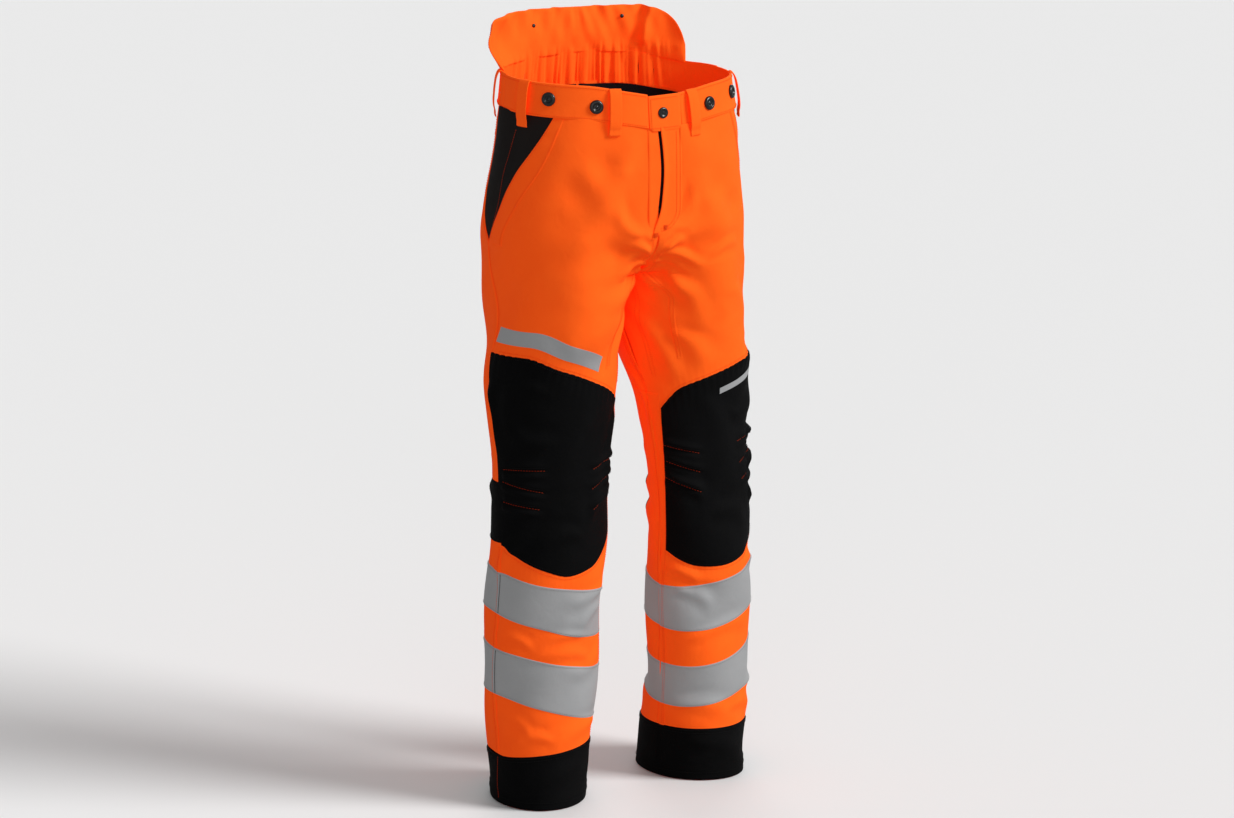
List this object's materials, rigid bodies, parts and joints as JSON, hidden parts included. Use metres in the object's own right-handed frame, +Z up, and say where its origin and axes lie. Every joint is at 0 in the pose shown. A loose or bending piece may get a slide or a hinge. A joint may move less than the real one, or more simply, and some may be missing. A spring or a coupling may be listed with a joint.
{
  "type": "protective trousers",
  "caption": "High-visibility chainsaw trousers with saw inserts, knee patches, reflective bands, a fly and a raised back bib.",
  "frame": {"origin": "on the ground between the two hems, under the middle of the garment's depth", "axes": "+Z up, the wearer faces -Y, the wearer's left is +X"},
  "size_m": [0.4348, 0.266, 1.141],
  "materials": {
    "orange_cloth": "matte woven",
    "black_cloth": "matte woven",
    "pocket_cloth": "matte woven",
    "reflective_tape": "satin",
    "saw_insert": "matte knit",
    "elastic": "matte ribbed",
    "lining": "matte mesh",
    "black_metal": "semi-gloss",
    "zip_metal": "satin",
    "zip_tape": "matte",
    "steel": "satin"
  },
  "bodies": {
    "seat": {"right_front_panel": "orange_cloth", "left_front_panel": "orange_cloth", "right_back_panel": "orange_cloth", "left_back_panel": "orange_cloth", "right_pocket_facing": "pocket_cloth", "left_pocket_facing": "pocket_cloth", "right_pocket_bag": "lining", "left_pocket_bag": "lining", "seat_lining": "lining", "crotch_gusset": "orange_cloth", "right_hip_fold": "orange_cloth", "left_hip_fold": "orange_cloth", "waistband_front_right": "orange_cloth", "waistband_front_left": "orange_cloth", "waistband_back": "orange_cloth", "waist_elastic": "elastic", "belt_loops": "orange_cloth", "brace_buttons": "black_metal", "button_washers": "steel", "waist_snap_socket": "steel", "fly_underlap": "orange_cloth", "zip_tape": "zip_tape", "zip_teeth": "zip_metal", "zip_stops": "steel"},
    "fly_flap": {"fly_placket": "orange_cloth", "waistband_tab": "orange_cloth", "waist_snap_cap": "black_metal"},
    "fly_slider": {"zip_slider": "zip_metal"},
    "fly_pull": {"zip_pull": "zip_metal"},
    "back_bib": {"back_bib": "orange_cloth", "bib_brace_buttons": "black_metal", "bib_rivets": "black_metal"},
    "right_thigh": {"right_thigh_front_panel": "orange_cloth", "right_thigh_back_panel": "orange_cloth", "right_thigh_saw_pad": "saw_insert", "right_knee_panel": "black_cloth", "right_back_knee_panel": "black_cloth"},
    "left_thigh": {"left_thigh_front_panel": "orange_cloth", "left_thigh_back_panel": "orange_cloth", "left_thigh_saw_pad": "saw_insert", "left_knee_panel": "black_cloth", "left_back_knee_panel": "black_cloth"},
    "right_shin": {"right_shin_front_panel": "orange_cloth", "right_shin_back_panel": "orange_cloth", "right_shin_saw_pad": "saw_insert", "right_upper_reflective_band": "reflective_tape", "right_lower_reflective_band": "reflective_tape", "right_hem_cuff": "black_cloth"},
    "left_shin": {"left_shin_front_panel": "orange_cloth", "left_shin_back_panel": "orange_cloth", "left_shin_saw_pad": "saw_insert", "left_upper_reflective_band": "reflective_tape", "left_lower_reflective_band": "reflective_tape", "left_hem_cuff": "black_cloth"}
  },
  "joints": [
    {"name": "right_hip", "type": "hinge", "parent": "seat", "child": "right_thigh", "pos_m": [-0.1, -0.007, 0.79], "axis": [-1, 0, 0], "range_deg": [-12, 45], "deforming": ["right_hip_fold"]},
    {"name": "left_hip", "type": "hinge", "parent": "seat", "child": "left_thigh", "pos_m": [0.1, -0.007, 0.79], "axis": [-1, 0, 0], "range_deg": [-12, 45], "deforming": ["left_hip_fold"]},
    {"name": "right_knee", "type": "hinge", "parent": "right_thigh", "child": "right_shin", "pos_m": [-0.124, -0.027, 0.48], "axis": [1, 0, 0], "range_deg": [0, 75], "deforming": ["right_knee_panel", "right_back_knee_panel"]},
    {"name": "left_knee", "type": "hinge", "parent": "left_thigh", "child": "left_shin", "pos_m": [0.124, -0.027, 0.48], "axis": [1, 0, 0], "range_deg": [0, 75], "deforming": ["left_knee_panel", "left_back_knee_panel"]},
    {"name": "fly_open", "type": "hinge", "parent": "seat", "child": "fly_flap", "pos_m": [0.038, -0.1286, 0.96], "axis": [0, 0, 1], "range_deg": [0, 75]},
    {"name": "zip_slide", "type": "slide", "parent": "seat", "child": "fly_slider", "axis": [0, 0, -1], "range_m": [0, 0.12]},
    {"name": "pull_swing", "type": "hinge", "parent": "fly_slider", "child": "fly_pull", "pos_m": [0.012, -0.12285, 0.9855], "axis": [-1, 0, 0], "range_deg": [0, 5]},
    {"name": "bib_fold", "type": "hinge", "parent": "seat", "child": "back_bib", "pos_m": [0, 0.10554, 1.0935], "axis": [-1, 0, 0], "range_deg": [0, 25]}
  ]
}
